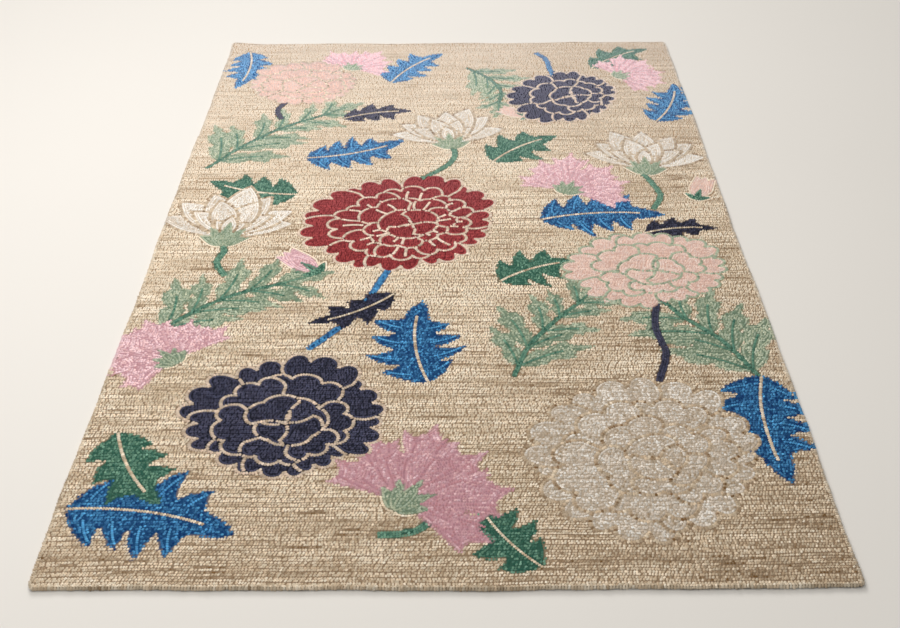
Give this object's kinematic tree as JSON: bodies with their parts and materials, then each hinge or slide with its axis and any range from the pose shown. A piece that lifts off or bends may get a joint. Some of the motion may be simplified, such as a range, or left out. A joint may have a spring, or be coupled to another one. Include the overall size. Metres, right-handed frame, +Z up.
{
  "type": "hand-tufted rug",
  "caption": "Rectangular hand-tufted wool loop-pile floor rug with rounded corners, a slightly uneven rolled edge and a scattered floral design.",
  "frame": {"origin": "floor height under the middle of the rug", "axes": "+X across the rug's width, +Y along its length, +Z up out of the pile"},
  "size_m": [1.5298, 2.4444, 0.0178],
  "materials": {
    "oatmeal_wool": "heathered oatmeal wool, low loop pile with darker streaks",
    "crimson_wool": "crimson wool, low loop pile",
    "navy_wool": "navy wool, low loop pile",
    "blue_wool": "cobalt and sky blue heathered wool, low loop pile",
    "green_wool": "deep green wool, low loop pile",
    "sage_wool": "pale sage green heathered wool, low loop pile",
    "pink_wool": "blossom pink wool with rose streaks, low loop pile",
    "salmon_wool": "pale salmon wool, low loop pile",
    "ivory_wool": "ivory and warm grey heathered wool, low loop pile"
  },
  "bodies": {
    "root": {"rug": "oatmeal_wool"}
  },
  "joints": []
}
